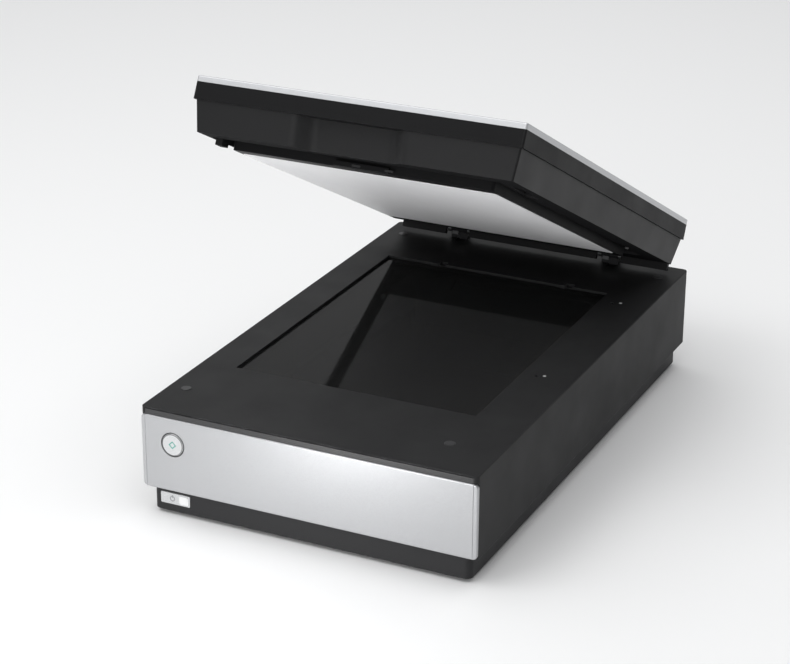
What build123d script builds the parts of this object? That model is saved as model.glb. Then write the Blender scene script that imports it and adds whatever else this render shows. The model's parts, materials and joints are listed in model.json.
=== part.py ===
from build123d import *
from math import acos, cos, pi, radians, sin, tan
import os

os.makedirs("parts", exist_ok=True)

# A flatbed scanner with a lid that lights film from above, its lid part open.
# X runs to the right, Y to the back and Z up. The origin is on the table, under
# the middle of the whole object. Every part is laid out from the case's own
# front edge: a span "(a, b)" in y is a distance behind that edge.

# ---- Case ----
case_width = 308.0
case_depth = 503.0
case_corner = 4.0
case_wall = 2.8
case_bottom = 24.2
deck_top = 98.7
deck_thick = 2.2
deck_under = deck_top - deck_thick
case_x = case_width / 2
case_inside_x = case_x - case_wall

# ---- Plinth, which is the lower tray ----
tray_x = 147.0
tray_front = 4.7
tray_back = 498.7
tray_bottom = 3.5
tray_wall = 2.5
tray_floor = tray_bottom + tray_wall
foot_radius = 9.0
foot_places = [(-125, 40), (125, 40), (-125, 465), (125, 465)]
pillar_places = [(side * 139.5, y) for side in (-1, 1) for y in (20, 251.5, 483)]
pillar_radius = 4.5
boss_radius = 6.0
screw_radius = 1.5
screw_head_radius = 3.6

# ---- Front ----
panel_thick = 3.0
panel_bottom = 24.7
panel_top = 91.7
panel_corner = 4.0
panel_pegs = [(-60, 60), (0, 60), (60, 60), (120, 60)]
trim_x = 150.0
trim_top = 97.0
start_x = -124.0
start_z = 68.3
start_radius = 10.3
power_span = (-139.9, -111.6)
power_height = (10.1, 20.6)
button_gap = 0.9

# ---- Window and glass ----
window_x = (-121.2, 106.1)
window_y = (104.3, 410.3)
glass_thick = 3.0
tape_thick = 0.3
glass_top = deck_under - tape_thick
glass_x = (-127.0, 112.0)
glass_y = (98.0, 440.0)
holder_tab_places = (-71.5, 60.0)
cap_places = [(-137.5, 47), (108.5, 47), (-134.7, 471), (134.7, 471)]

# ---- Scan carriage and its drive ----
rod_x = -124.0
rod_z = 52.0
rod_radius = 4.0
running_gap = 0.05
rail_x = (120.0, 133.0)
rail_top = 56.0
carriage_x = (-94.0, 112.0)
carriage_y = (412.0, 480.0)
carriage_z = (34.0, 91.0)
slit_y = (422.0, 428.0)
belt_x = -105.0
belt_front = 62.0
belt_back = 452.0
belt_z = (38.5, 44.5)
pulley_radius = 6.2
pulley_flange = 8.0
belt_inner = 6.3
belt_thick = 0.8
gear_module = 1.0
gear_teeth = 48
pinion_teeth = 12
pressure_angle = radians(25)
tooth_height = 0.8
tooth_slack = 0.12
motor_x = belt_x + gear_module * (gear_teeth + pinion_teeth) / 2

# ---- Hinges ----
hinge_y = 490.2
hinge_z = 108.0
hinge_x = 80.0
hinge_places = (-hinge_x, hinge_x)
knuckle_radius = 5.4
knuckle_half = 8.5
ear_gap = 0.2
ear_thick = 3.5
ear_outer = knuckle_half + ear_gap + ear_thick
pin_radius = 2.5
pin_half = ear_outer + 0.1
post_half_thick = 4.4
post_bottom = 48.1
slide_gap = 0.2

# ---- Lid ----
lid_open = 27.33
lid_width = 295.0
lid_length = 467.7
lid_height = 46.1
rim_height = 26.1
cover_height = 40.8
lid_x = lid_width / 2
lid_corner = 1.5
# The lid's body narrows from its rim down to its underside.
body_low_x = 142.0
body_low_y = (7.6, 461.0)
body_high_x = 145.5
body_high_y = (2.0, 465.7)
lid_wall = 2.5
lid_back_gap = 4.3
lid_axis_height = 2.1
grip_mouth = (-57.0, 50.0)
grip_floor = (-35.0, 28.6)
grip_depth = 10.0
recess_x = (-138.5, 122.5)
recess_y = (28.0, 424.0)
recess_depth = 8.0
recess_skin = 2.0
lamp_window_x = (-108.0, 92.0)
lamp_window_y = (98.0, 352.0)
cover_screws = [(-136, 60), (117, 60), (-136, 390), (117, 390)]
mat_x = (-126.5, 112.0)
mat_y = (46.0, 404.0)
mat_sheet_x = (-124.5, 108.5)
mat_sheet_y = (62.0, 384.0)
mat_face = -5.6
sheet_face = -6.0
sheet_thick = 2.0
sheet_corner = 3.0
pull_tab_x = (-30.0, 20.0)
mat_tongues = (-80.0, 64.0)
lock_slot_x = (126.7, 133.3)
lock_slot_y = (46.0, 96.0)
lid_rod_x = -128.0
lid_rod_height = 22.0
lid_rod_radius = 3.0
lid_belt_x = -119.5
lid_belt_front = 45.0
lid_belt_back = 440.0
lid_belt_height = (30.0, 36.0)

# ---- Frames ----
# The case's front edge stands this far in front of the middle of the object.
front_y = -256.7
base = Plane(origin=(0, front_y, 0), x_dir=(1, 0, 0), z_dir=(0, 0, 1))
tilt = radians(lid_open)
lid_tilt = Plane(
    origin=(0, front_y + hinge_y, hinge_z), x_dir=(1, 0, 0), z_dir=(0, sin(tilt), cos(tilt))
)
lid = Plane(
    origin=lid_tilt.from_local_coords((0, lid_back_gap - lid_length, -lid_axis_height)),
    x_dir=lid_tilt.x_dir,
    z_dir=lid_tilt.z_dir,
)


# The lid's front leans forward along this line, from its underside to its rim.
body_slant = lid.y_dir * (body_high_y[0] - body_low_y[0]) + lid.z_dir * rim_height


def facing(frame, y):
    """The upright plane seen from the front, y behind a frame's front edge."""
    return Plane(origin=frame.from_local_coords((0, y, 0)), x_dir=frame.x_dir, z_dir=frame.y_dir * -1)


def sideways(frame, x):
    """The upright plane seen from the right, at x. Its own x runs to the back."""
    return Plane(origin=frame.from_local_coords((x, 0, 0)), x_dir=frame.y_dir, z_dir=frame.x_dir)


def block(frame, x, y, z, radius=0.0, mode=Mode.ADD):
    """A box between three pairs of limits, with its upright corners rounded."""
    with BuildSketch(frame.offset(z[0])) as outline:
        with Locations(((x[0] + x[1]) / 2, (y[0] + y[1]) / 2)):
            if radius > 0:
                RectangleRounded(x[1] - x[0], y[1] - y[0], radius)
            else:
                Rectangle(x[1] - x[0], y[1] - y[0])
    extrude(outline.sketch, amount=z[1] - z[0], mode=mode)


def lid_body(inset, height, mode=Mode.ADD):
    """The lid's tapered body between two heights, drawn in by a wall's thickness."""
    sections = []
    for level in height:
        share = level / rim_height
        half = body_low_x + share * (body_high_x - body_low_x) - inset
        front = body_low_y[0] + share * (body_high_y[0] - body_low_y[0]) + inset
        back = body_low_y[1] + share * (body_high_y[1] - body_low_y[1]) - inset
        with BuildSketch(lid.offset(level)) as outline:
            with Locations((0, (front + back) / 2)):
                RectangleRounded(2 * half, back - front, lid_corner)
        sections.append(outline.sketch.face())
    loft(sections=sections, mode=mode)


def pegs(plane, places, radius, length, mode=Mode.ADD):
    """Round pegs of one length on a plane, or holes when they are taken away."""
    with BuildSketch(plane) as outline:
        with Locations(*places):
            Circle(radius)
    extrude(outline.sketch, amount=length, mode=mode)


def keep(builder, name):
    """Labels a finished piece and writes it to its own file."""
    builder.part.label = name
    export_step(builder.part, f"parts/{name}.step")
    solids = len(builder.part.solids())
    print(f"{name}: {solids} solids, {builder.part.volume:.1f} mm3, valid {builder.part.is_valid}")


def gear_points(teeth, first_angle):
    """The corners of an involute gear's outline, tooth by tooth."""
    pitch = gear_module * teeth / 2
    inner = pitch - 1.1 * gear_module
    outer = pitch + tooth_height * gear_module
    base_radius = pitch * cos(pressure_angle)
    half_tooth = pi / (2 * teeth) - tooth_slack / (2 * pitch)

    def half_angle(radius):
        roll = acos(min(1.0, base_radius / radius))
        return half_tooth + tan(pressure_angle) - pressure_angle - (tan(roll) - roll)

    start = max(base_radius, inner)
    flank = [start + (outer - start) * step / 3 for step in range(4)]
    rising = [(inner, -half_angle(start))] + [(r, -half_angle(r)) for r in flank]
    corners = rising + [(r, -a) for r, a in reversed(rising)]
    points = []
    for tooth in range(teeth):
        middle = first_angle + 2 * pi * tooth / teeth
        points += [(r * cos(middle + a), r * sin(middle + a)) for r, a in corners]
    return [p for i, p in enumerate(points) if i == 0 or abs(p[0] - points[i - 1][0]) > 1e-6
            or abs(p[1] - points[i - 1][1]) > 1e-6]


def gear(plane, centre, teeth, thick, first_angle):
    """A spur gear on a plane."""
    corners = [(centre[0] + x, centre[1] + y) for x, y in gear_points(teeth, first_angle)]
    with BuildSketch(plane) as outline:
        with BuildLine():
            Polyline(*corners, close=True)
        make_face()
    extrude(outline.sketch, amount=thick)


def belt_loop(frame, x, front, back, height):
    """A closed belt round two upright shafts."""
    length = back - front
    with BuildSketch(frame.offset(height[0])) as outline:
        with Locations((x, (front + back) / 2)):
            SlotCenterToCenter(length, 2 * (belt_inner + belt_thick), rotation=90)
            SlotCenterToCenter(length, 2 * belt_inner, rotation=90, mode=Mode.SUBTRACT)
    extrude(outline.sketch, amount=height[1] - height[0])


def pulley(frame, centre, height):
    """A toothed belt pulley with a flange above and below the belt."""
    groove_count = 20
    low = height[0] - 0.5
    high = height[1] + 0.5
    pegs(frame.offset(low), [centre], pulley_radius, high - low)
    with BuildSketch(frame.offset(low)) as grooves:
        with Locations(centre):
            with PolarLocations(pulley_radius, groove_count):
                Circle(0.45)
    extrude(grooves.sketch, amount=high - low, mode=Mode.SUBTRACT)
    pegs(frame.offset(low - 0.8), [centre], pulley_flange, 0.8)
    pegs(frame.offset(high), [centre], pulley_flange, 0.8)


def coil_spring(name, start, direction, length, radius, wire, turns):
    """A wire coil that begins at start and runs length along direction."""
    with BuildPart() as spring:
        with BuildLine() as path:
            Helix(pitch=length / turns, height=length, radius=radius, center=start, direction=direction)
        with BuildSketch(Plane(origin=path.line @ 0, z_dir=path.line % 0)):
            Circle(wire)
        sweep(path=path.line)
    keep(spring, name)


# ==== Base: casings ====

def make_lower_tray():
    with BuildPart() as tray:
        block(base, (-tray_x, tray_x), (tray_front, tray_back), (tray_bottom, case_bottom), 6)
        inner_x = tray_x - tray_wall
        block(base, (-inner_x, inner_x), (tray_front + tray_wall, tray_back - tray_wall),
              (tray_floor, case_bottom), 3.5, Mode.SUBTRACT)
        pegs(base.offset(tray_bottom), pillar_places, boss_radius, case_bottom - tray_bottom)
        pegs(base.offset(tray_bottom), pillar_places, screw_head_radius + 0.3, 8, Mode.SUBTRACT)
        pegs(base.offset(tray_bottom), pillar_places, 2, 30, Mode.SUBTRACT)
        pegs(base.offset(tray_bottom), foot_places, foot_radius + 0.2, 1.2, Mode.SUBTRACT)
        # Opening for the power button in the front wall.
        block(base, (power_span[0] - button_gap / 2, power_span[1] + button_gap / 2), (0, 8),
              (power_height[0] - button_gap / 2, power_height[1] + button_gap / 2), mode=Mode.SUBTRACT)
        # Openings for the sockets in the back wall.
        for x, half in ((16, 6.2), (46.5, 6.9), (94.5, 5.0)):
            block(base, (x - half, x + half), (490, 500), (10.6, 22.6), mode=Mode.SUBTRACT)
        # Standoffs of the main board, seats of the motor's legs and the spring's post.
        pegs(base.offset(tray_floor), [(-22, 388), (112, 388), (-22, 476), (112, 476)], 3, 3)
        block(base, (-108, -102), (486.5, 490.5), (tray_floor, 30))
        # Cooling slots in the floor.
        with BuildSketch(base.offset(tray_bottom)) as slots:
            with Locations((40, 150)):
                with GridLocations(8, 0, 12, 1):
                    SlotOverall(40, 3, rotation=90)
        extrude(slots.sketch, amount=tray_wall, mode=Mode.SUBTRACT)
    keep(tray, "lower_tray")


def make_rubber_feet():
    with BuildPart() as feet:
        with BuildSketch(base) as outline:
            with Locations(*foot_places):
                Circle(foot_radius)
        extrude(outline.sketch, amount=tray_bottom + 1.1)
        fillet(feet.edges().group_by(Axis.Z)[0], 0.8)
    keep(feet, "rubber_feet")


def make_upper_case():
    with BuildPart() as case:
        block(base, (-case_x, case_x), (0, case_depth), (case_bottom, deck_top), case_corner)
        fillet(case.faces().sort_by(Axis.Z)[-1].edges(), 1.0)
        block(base, (-case_inside_x, case_inside_x), (panel_thick + 2.7, case_depth - case_wall),
              (case_bottom + 2.2, deck_under), 1.5, Mode.SUBTRACT)
        block(base, (-144.8, 144.8), (7.4, 496), (case_bottom, case_bottom + 3), 3, Mode.SUBTRACT)
        # Seats of the front panel and of the dark trim above it.
        block(base, (-160, 160), (-5, panel_thick), (0, panel_top + 0.2), mode=Mode.SUBTRACT)
        block(base, (-trim_x - 0.4, trim_x + 0.4), (-5, panel_thick), (panel_top, trim_top + 0.9),
              mode=Mode.SUBTRACT)
        # Window over the glass.
        block(base, window_x, window_y, (deck_under - 1, deck_top + 1), 1.0, Mode.SUBTRACT)
        # Opening behind the start button, and holes for the front panel's pegs.
        pegs(facing(base, 0), [(start_x, start_z)], start_radius + button_gap, -8, Mode.SUBTRACT)
        pegs(facing(base, 0), panel_pegs, 2.1, -8, Mode.SUBTRACT)
        # Pillars that take the case screws.
        pegs(base.offset(case_bottom), pillar_places, pillar_radius, deck_under - case_bottom + 0.5)
        pegs(base.offset(case_bottom), pillar_places, screw_radius, 14, Mode.SUBTRACT)
        # Wells that the hinge posts slide in.
        for x in hinge_places:
            half = knuckle_half + slide_gap
            well = post_half_thick + slide_gap
            block(base, (x - half - 2.5, x + half + 2.5), (hinge_y - well - 2.5, hinge_y + well + 2.5),
                  (post_bottom - 4, deck_under + 0.5))
            block(base, (x - half, x + half), (hinge_y - well, hinge_y + well),
                  (post_bottom - 0.1, deck_top + 1), mode=Mode.SUBTRACT)
        # Slot of the transport lock, and opening of the lid's cable socket.
        block(base, (-43.4, -26.6), (499, 504), (58, 64), mode=Mode.SUBTRACT)
        block(base, (104.8, 131.2), (499, 504), (31.8, 44.2), mode=Mode.SUBTRACT)
        # Shallow seats of the four round caps.
        pegs(base.offset(deck_top - 1.1), cap_places, 4.7, 2, Mode.SUBTRACT)
        # Two small tabs at the window's back edge locate a film holder.
        back = window_y[1]
        for x in holder_tab_places:
            block(base, (x - 4, x + 4), (back - 1.6, back + 8), (deck_under, deck_top + 0.5), 0.7)
            block(base, (x + 4.5, x + 11), (back - 1, back + 6.5), (deck_top - 1.7, deck_top + 1),
                  mode=Mode.SUBTRACT)
        # A hollow in the deck in front of the right half of each hinge post.
        for x in hinge_places:
            block(base, (x - 1, x + 8.6), (477, 486), (deck_top - 1.7, deck_top + 1), mode=Mode.SUBTRACT)
        # Two small holes beside the window locate the holder's pegs.
        pegs(base.offset(deck_top - 1.6), [(119.5, 202.5), (119.0, 389.0)], 1.6, 3, Mode.SUBTRACT)
    keep(case, "upper_case")


def make_front_panel():
    with BuildPart() as panel:
        with BuildSketch(facing(base, panel_thick)) as outline:
            with Locations((0, (panel_bottom + panel_top) / 2)):
                Rectangle(case_width, panel_top - panel_bottom)
            fillet(outline.vertices().group_by(Axis.Z)[0], panel_corner)
            with Locations((start_x, start_z)):
                Circle(start_radius + button_gap, mode=Mode.SUBTRACT)
        extrude(outline.sketch, amount=panel_thick)
        outer = panel.faces().sort_by(Axis.Y)[0].outer_wire().edges()
        fillet(outer, 1.2)
        # A hairline groove sets off each end of the panel.
        for side in (-1, 1):
            groove = side * (case_x - 3.8)
            block(base, (groove - 0.2, groove + 0.2), (-1, 0.35), (panel_bottom - 1, panel_top + 1),
                  mode=Mode.SUBTRACT)
        pegs(facing(base, panel_thick), panel_pegs, 2, -2.5)
    keep(panel, "front_panel")


def make_front_trim():
    with BuildPart() as trim:
        block(base, (-trim_x, trim_x), (0.3, panel_thick), (panel_top + 0.25, trim_top))
        fillet(trim.edges().group_by(Axis.Y)[0].filter_by(Axis.X), 0.5)
    keep(trim, "front_trim")


def make_platen_glass():
    with BuildPart() as glass:
        block(base, glass_x, glass_y, (glass_top - glass_thick, glass_top))
        chamfer(glass.edges().filter_by(Axis.Z), 0.6)
    keep(glass, "platen_glass")


def make_glass_tape():
    with BuildPart() as tape:
        block(base, glass_x, glass_y, (glass_top, deck_under))
        block(base, (window_x[0] - 1.2, window_x[1] + 1.2), (window_y[0] - 1.2, 435),
              (glass_top - 1, deck_under + 1), mode=Mode.SUBTRACT)
    keep(tape, "glass_tape")


def make_calibration_strip():
    with BuildPart() as strip:
        block(base, (-118, 103), (415, 433), (glass_top, deck_under))
    keep(strip, "calibration_strip")


def make_deck_caps():
    with BuildPart() as caps:
        pegs(base.offset(deck_top - 1.1), cap_places, 4.5, 1.5)
        fillet(caps.edges().group_by(Axis.Z)[-1], 0.4)
    keep(caps, "deck_caps")


def make_case_screws():
    with BuildPart() as screws:
        head = tray_bottom + 8
        pegs(base.offset(head), pillar_places, screw_head_radius, -2.4)
        pegs(base.offset(head), pillar_places, screw_radius, 24)
        with BuildSketch(base.offset(head - 2.4)) as crosses:
            with Locations(*pillar_places):
                Rectangle(3.6, 0.9)
                Rectangle(0.9, 3.6)
        extrude(crosses.sketch, amount=1.3, mode=Mode.SUBTRACT)
    keep(screws, "case_screws")


# ==== Base: buttons, boards and sockets ====

def make_start_button():
    with BuildPart() as button:
        pegs(facing(base, 5.8), [(start_x, start_z)], start_radius, 6.4)
        fillet(button.edges().group_by(Axis.Y)[0], 0.9)
        pegs(facing(base, 5.8), [(start_x, start_z)], 13.0, -1.3)
        pegs(facing(base, 7.1), [(start_x, start_z)], 2.3, -3.8)
    keep(button, "start_button")


def make_power_button():
    x = (power_span[0] + power_span[1]) / 2
    z = (power_height[0] + power_height[1]) / 2
    with BuildPart() as button:
        with BuildSketch(facing(base, 7.4)) as cap:
            with Locations((x, z)):
                RectangleRounded(power_span[1] - power_span[0], power_height[1] - power_height[0], 0.8)
        extrude(cap.sketch, amount=3.4)
        fillet(button.faces().sort_by(Axis.Y)[0].outer_wire().edges(), 0.5)
        block(base, (power_span[0] - 1.5, power_span[1] + 1.5), (7.3, 8.5), (power_height[0] - 1.5,
              power_height[1] + 1.5))
        pegs(facing(base, 8.5), [(x, z)], 2, -2.4)
    keep(button, "power_button")


def make_control_board():
    with BuildPart() as board:
        block(base, (-134, -58), (18, 19.6), (34, 88))
        block(base, (start_x - 5, start_x + 5), (14.4, 18), (start_z - 5, start_z + 5))
        pegs(facing(base, 14.4), [(start_x, start_z)], 2, 1.6)
        block(base, (-84, -66), (16, 18), (60, 78))
        block(base, (-110, -98), (16.4, 18), (40, 52))
    keep(board, "control_board")


def make_power_switch():
    with BuildPart() as switch:
        block(base, (-132.5, -112), (19, 20.6), (tray_floor + 0.1, 24))
        block(base, (-130, -121.5), (14.2, 19), (10.5, 20))
        pegs(facing(base, 14.2), [(-125.75, 15.35)], 1.6, 1.4)
    keep(switch, "power_switch")


def make_main_board():
    with BuildPart() as board:
        block(base, (-30, 120), (380, 482), (9, 10.6))
        chips = ((20, 420, 28, 2.4), (70, 430, 20, 2.2), (-10, 440, 14, 1.8), (100, 400, 12, 8))
        for x, y, size, tall in chips:
            half = size / 2
            block(base, (x - half, x + half), (y - half, y + half), (10.6, 10.6 + tall))
        pegs(base.offset(10.6), [(50, 460), (64, 460), (84, 465)], 4, 10)
    keep(board, "main_board")


def socket(name, x, half, z, back, mouth_half, mouth_z, depth, tongue_x, tongue_z, length=16):
    """A socket whose mouth faces the back, with a contact tongue deep inside it."""
    with BuildPart() as shell:
        block(base, (x - half, x + half), (back - length, back), z)
        block(base, (x - mouth_half, x + mouth_half), (back - depth, back + 1), mouth_z, mode=Mode.SUBTRACT)
        block(base, (x + tongue_x[0], x + tongue_x[1]), (back - depth - 1, back - 5), tongue_z)
    keep(shell, name)


def make_sockets():
    back = tray_back - 0.2
    socket("usb_socket", 16, 6, (10.7, 22.0), back, 4.3, (12.5, 20.3), 9, (-2.8, 2.8), (14.8, 18.0))
    socket("bus_socket", 46.5, 6.7, (10.7, 18.5), back, 5.7, (11.8, 17.4), 9, (-4.3, 4.3), (13.6, 15.6))
    socket("lid_cable_socket", 118, 13, (32, 44), case_depth - 0.4, 10.5, (34, 42), 8, (-8.5, 8.5),
           (37, 39), 14)
    with BuildPart() as inlet:
        block(base, (89.8, 99.2), (back - 14, back), (10.7, 22.2))
        pegs(facing(base, back + 1), [(94.5, 16.4)], 3.2, 10, Mode.SUBTRACT)
        pegs(facing(base, back - 5), [(94.5, 16.4)], 1.0, 4.2)
    keep(inlet, "power_inlet")


def make_transport_lock():
    with BuildPart() as lock:
        block(base, (-52, -28), (497.6, 499.9), (56, 66))
        block(base, (-43, -37), (499.8, 502.8), (58.3, 63.7))
        with BuildSketch(facing(base, 502.8)) as ridges:
            with Locations((-40, 61)):
                with GridLocations(1.6, 0, 3, 1):
                    Rectangle(0.6, 5.4)
        extrude(ridges.sketch, amount=0.5, mode=Mode.SUBTRACT)
        block(base, (-52, -48), (483, 497.7), (59, 63))
        block(base, (-48.5, -40), (483, 486), (59, 63))
    keep(lock, "transport_lock")


# ==== Base: the carriage's ways and drive ====

def make_guide_rod():
    with BuildPart() as rod:
        pegs(facing(base, 24), [(rod_x, rod_z)], rod_radius, -472)
        chamfer(rod.edges().filter_by(GeomType.CIRCLE), 0.5)
    keep(rod, "guide_rod")


def make_rod_clamps():
    with BuildPart() as clamps:
        for y in ((24.5, 34), (484, 494)):
            block(base, (rod_x - 8, rod_x + 8), y, (tray_floor, rod_z + 7), 1)
        pegs(facing(base, 20), [(rod_x, rod_z)], rod_radius + 0.02, -480, Mode.SUBTRACT)
    keep(clamps, "rod_clamps")


def make_support_rail():
    with BuildPart() as rail:
        block(base, (rail_x[1] - 1.5, rail_x[1]), (30, 480), (tray_floor, rail_top))
        block(base, rail_x, (30, 480), (rail_top - 1.5, rail_top))
        block(base, (rail_x[0] + 2, rail_x[1]), (30, 480), (tray_floor, tray_floor + 1.5))
    keep(rail, "support_rail")


def make_motor_bracket():
    with BuildPart() as bracket:
        block(base, (-130, -52), (38, 86), (29, 30.5), 2)
        for x in (-130, -58):
            for y in (38, 80):
                block(base, (x, x + 6), (y, y + 6), (tray_floor, 30))
        pegs(base.offset(28), [(motor_x, belt_front)], 5, 4, Mode.SUBTRACT)
        # The steel axle that the drive gear turns on is riveted to the plate.
        pegs(base.offset(29), [(belt_x, belt_front)], 2.5, 20)
    keep(bracket, "motor_bracket")


def make_drive_motor():
    with BuildPart() as motor:
        pegs(base.offset(7), [(motor_x, belt_front)], 18.5, 21.9)
        fillet(motor.edges().group_by(Axis.Z)[0], 1)
        pegs(base.offset(7), [(motor_x, belt_front)], 4.8, 23.5)
        pegs(base.offset(15), [(motor_x, belt_front)], 1.5 + running_gap, 20, Mode.SUBTRACT)
    keep(motor, "drive_motor")


def make_pinion():
    with BuildPart() as pinion:
        gear(base.offset(31.5), (motor_x, belt_front), pinion_teeth, 5.5, pi / pinion_teeth)
        pegs(base.offset(15.5), [(motor_x, belt_front)], 1.5, 22.5)
    keep(pinion, "pinion_shaft")


def make_drive_gear():
    with BuildPart() as drive:
        gear(base.offset(32), (belt_x, belt_front), gear_teeth, 4.5, 0)
        pegs(base.offset(31), [(belt_x, belt_front)], 5, 7)
        pulley(base, (belt_x, belt_front), belt_z)
        with BuildSketch(base.offset(31)) as holes:
            with Locations((belt_x, belt_front)):
                with PolarLocations(15, 6):
                    Circle(3.2)
        extrude(holes.sketch, amount=6, mode=Mode.SUBTRACT)
        pegs(base.offset(30), [(belt_x, belt_front)], 2.5 + running_gap, 20, Mode.SUBTRACT)
    keep(drive, "drive_gear")


def make_idler_pulley():
    with BuildPart() as idler:
        pulley(base, (belt_x, belt_back), belt_z)
        pegs(base.offset(36), [(belt_x, belt_back)], 2 + running_gap, 20, Mode.SUBTRACT)
    keep(idler, "idler_pulley")


def make_idler_bracket():
    with BuildPart() as bracket:
        block(base, (-113, -97), (442, 472), (33, 35), 1.5)
        for x in (-113, -99):
            block(base, (x, x + 2), (446, 466), (tray_floor, 34))
        block(base, (-109, -101), (470, 472), (16, 34))
        pegs(base.offset(33), [(belt_x, belt_back)], 2, 14)
        pegs(base.offset(35), [(belt_x, belt_back)], 4, 1.2)
    keep(bracket, "idler_bracket")


def make_timing_belt():
    with BuildPart() as belt:
        belt_loop(base, belt_x, belt_front, belt_back, belt_z)
    keep(belt, "timing_belt")


# ==== Scan carriage ====

def make_carriage_housing():
    wall = 2.0
    inside_x = (carriage_x[0] + wall, carriage_x[1] - wall)
    inside_y = (carriage_y[0] + wall, carriage_y[1] - wall)
    with BuildPart() as housing:
        block(base, carriage_x, carriage_y, carriage_z, 2)
        block(base, inside_x, inside_y, (carriage_z[0] + wall, carriage_z[1] - wall), mode=Mode.SUBTRACT)
        block(base, (inside_x[0] + 4, inside_x[1] - 4), slit_y, (80, 95), mode=Mode.SUBTRACT)
        # Window at the back for the sensor board's heat sink.
        block(base, (-14, 34), (470, 484), (44, 74), mode=Mode.SUBTRACT)
        # Left arm with the two bush housings, and right arm over the rail.
        block(base, (rod_x, carriage_x[0] + 1), (416, 476), (rod_z + 2, rod_z + 8))
        for y in (416, 462):
            pegs(facing(base, y), [(rod_x, rod_z)], 8.6, -14)
        pegs(facing(base, 400), [(rod_x, rod_z)], 6.0, -90, Mode.SUBTRACT)
        block(base, (carriage_x[1] - 1, 130), (426, 466), (58.6, 64))
        # Fin with the slot that the transport lock enters.
        block(base, (-36, -33), (carriage_y[1] - 1, 490), (54, 68))
        block(base, (-40, -30), (482, 487.2), (58, 64), mode=Mode.SUBTRACT)
    keep(housing, "carriage_housing")


def make_carriage_bushes():
    with BuildPart() as bushes:
        for y in (416, 462):
            pegs(facing(base, y), [(rod_x, rod_z)], 5.98, -14)
        pegs(facing(base, 400), [(rod_x, rod_z)], rod_radius + running_gap, -90, Mode.SUBTRACT)
    keep(bushes, "carriage_bushes")


def make_carriage_glide():
    with BuildPart() as glide:
        block(base, (121, 129), (430, 462), (rail_top + 0.1, 58.6), 1)
    keep(glide, "carriage_glide")


def make_belt_clip():
    strand = belt_x - belt_inner - belt_thick
    with BuildPart() as clip:
        block(base, (strand - 2.6, strand + 3.2), (430, 440), (37, 54))
        block(base, (strand - 0.3, strand + belt_thick + 0.3), (429, 441), (36, belt_z[1] + 0.4),
              mode=Mode.SUBTRACT)
    keep(clip, "belt_clip")


def make_exposure_lamps():
    with BuildPart() as lamps:
        pegs(sideways(base, -88), [(418, 84), (432, 84)], 1.5, 194)
    keep(lamps, "exposure_lamps")


def make_lamp_reflectors():
    with BuildPart() as reflectors:
        for y, start in ((418, 150), (432, -90)):
            with BuildSketch(sideways(base, -86)) as outline:
                with BuildLine():
                    outer_arc = CenterArc((y, 84), 3.4, start, 120)
                    inner_arc = CenterArc((y, 84), 2.9, start, 120)
                    Line(outer_arc @ 0, inner_arc @ 0)
                    Line(outer_arc @ 1, inner_arc @ 1)
                make_face()
            extrude(outline.sketch, amount=190)
    keep(reflectors, "lamp_reflectors")


def make_fold_mirrors():
    with BuildPart() as mirrors:
        for y, z, angle in ((424, 46, 40), (460, 70, -55), (440, 66, 50)):
            with BuildSketch(sideways(base, -80)) as outline:
                with Locations((y, z)):
                    Rectangle(12, 1.8, rotation=angle)
            extrude(outline.sketch, amount=176)
    keep(mirrors, "fold_mirrors")


def make_lens_block():
    with BuildPart() as lens:
        block(base, (-12, 32), (440, 456), (36, 40))
        for x, radius in ((-2, 7.0), (20, 8.5)):
            pegs(facing(base, 434), [(x, 50)], radius, -22)
            pegs(facing(base, 433), [(x, 50)], radius - 2, -3, Mode.SUBTRACT)
            block(base, (x - 3, x + 3), (440, 452), (39, 46))
    keep(lens, "lens_block")


def make_sensor_board():
    with BuildPart() as board:
        block(base, (-40, 60), (468, 469.6), (38, 78))
        block(base, (-16, 36), (464.4, 468), (45, 55))
        for x in range(-10, 31, 8):
            block(base, (x - 1, x + 1), (469.5, 479.5), (46, 72))
        block(base, (-12, 32), (469.5, 471.5), (46, 72))
    keep(board, "sensor_board")


# ==== Hinges ====

def make_hinge_posts():
    with BuildPart() as posts:
        for x in hinge_places:
            span = (x - knuckle_half, x + knuckle_half)
            block(base, span, (hinge_y - post_half_thick, hinge_y + post_half_thick), (post_bottom, 98.2))
            block(base, span, (hinge_y - 4, hinge_y + 4), (98, hinge_z))
            pegs(sideways(base, span[0]), [(hinge_y, hinge_z)], knuckle_radius, 2 * knuckle_half)
            pegs(sideways(base, span[0]), [(hinge_y, hinge_z)], pin_radius, 2 * knuckle_half, Mode.SUBTRACT)
    keep(posts, "hinge_posts")


def make_hinge_pins():
    with BuildPart() as pins:
        for x in hinge_places:
            pegs(sideways(base, x - pin_half), [(hinge_y, hinge_z)], pin_radius, 2 * pin_half)
        chamfer(pins.edges().filter_by(GeomType.CIRCLE), 0.4)
    keep(pins, "hinge_pins")


def make_hinge_brackets():
    axis_y = lid_length - lid_back_gap
    with BuildPart() as brackets:
        for x in hinge_places:
            for left in (x - ear_outer, x + knuckle_half + ear_gap):
                with BuildSketch(sideways(lid, left)) as ear:
                    with BuildLine():
                        Polyline((458.2, 1.0), (452.6, 7.0), (444, 11), (444, 15), (461, 15), (468.6, 3.0),
                                 close=True)
                    make_face()
                    with Locations((axis_y, lid_axis_height)):
                        Circle(knuckle_radius)
                        Circle(pin_radius + running_gap, mode=Mode.SUBTRACT)
                extrude(ear.sketch, amount=ear_thick)
            block(lid, (x - ear_outer, x + ear_outer), (430, 450), (13, 15))
            pegs(lid.offset(12), [(x - 8, 437), (x + 8, 437)], 1.9, 4, Mode.SUBTRACT)
    keep(brackets, "hinge_brackets")


# ==== Lid: casings ====

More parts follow.
